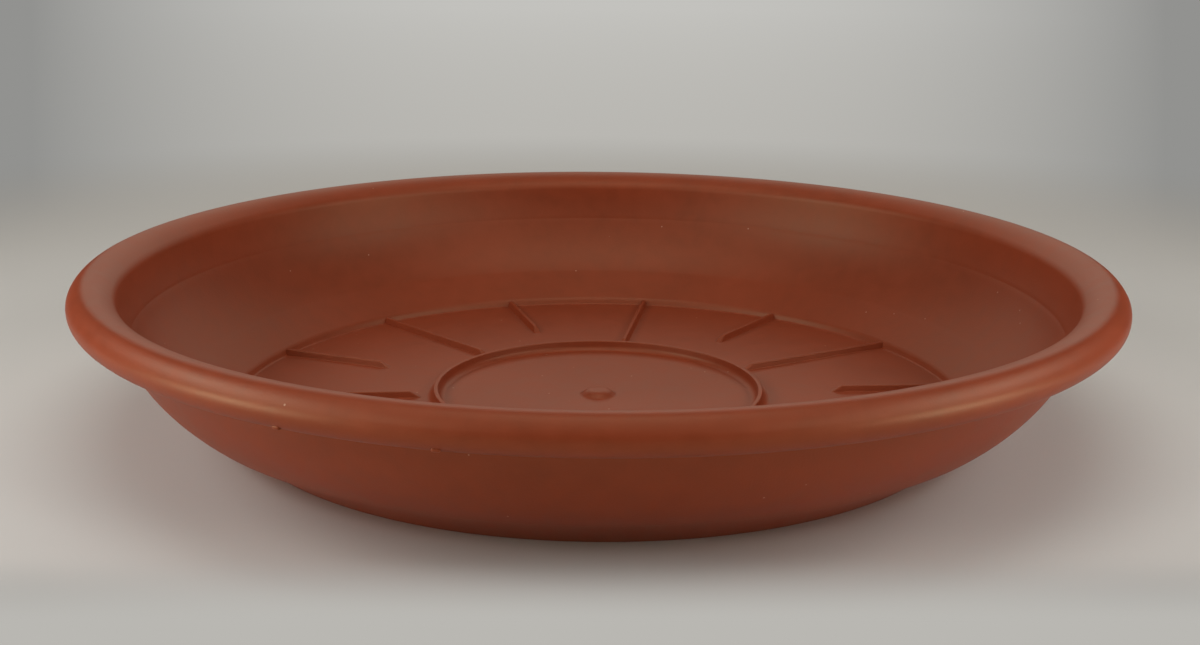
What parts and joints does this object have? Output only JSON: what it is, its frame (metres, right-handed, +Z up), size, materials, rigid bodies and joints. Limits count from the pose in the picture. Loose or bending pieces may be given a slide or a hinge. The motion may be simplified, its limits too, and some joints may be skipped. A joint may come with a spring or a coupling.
{
  "type": "plant saucer",
  "caption": "Round plastic saucer for a plant pot: flared bowl with a rolled rim, and radial ribs round a ring on its floor that hold the pot above spilled water.",
  "frame": {"origin": "on the ground under the centre of the saucer", "axes": "+Z up along the axis of revolution; the picture looks along +Y, with +X to the right"},
  "size_m": [0.3, 0.3, 0.0463],
  "materials": {
    "terracotta_polypropylene": "fine moulded grain, dull satin"
  },
  "bodies": {
    "root": {"centre_ring": "terracotta_polypropylene", "ejector_pads": "terracotta_polypropylene", "floor_plate": "terracotta_polypropylene", "foot_ring": "terracotta_polypropylene", "gate_dome": "terracotta_polypropylene", "heel_band": "terracotta_polypropylene", "long_rib_1": "terracotta_polypropylene", "long_rib_2": "terracotta_polypropylene", "long_rib_3": "terracotta_polypropylene", "long_rib_4": "terracotta_polypropylene", "long_rib_5": "terracotta_polypropylene", "long_rib_6": "terracotta_polypropylene", "long_rib_7": "terracotta_polypropylene", "rolled_rim": "terracotta_polypropylene", "short_rib_1": "terracotta_polypropylene", "short_rib_2": "terracotta_polypropylene", "short_rib_3": "terracotta_polypropylene", "short_rib_4": "terracotta_polypropylene", "short_rib_5": "terracotta_polypropylene", "short_rib_6": "terracotta_polypropylene", "short_rib_7": "terracotta_polypropylene", "side_wall": "terracotta_polypropylene"}
  },
  "joints": []
}
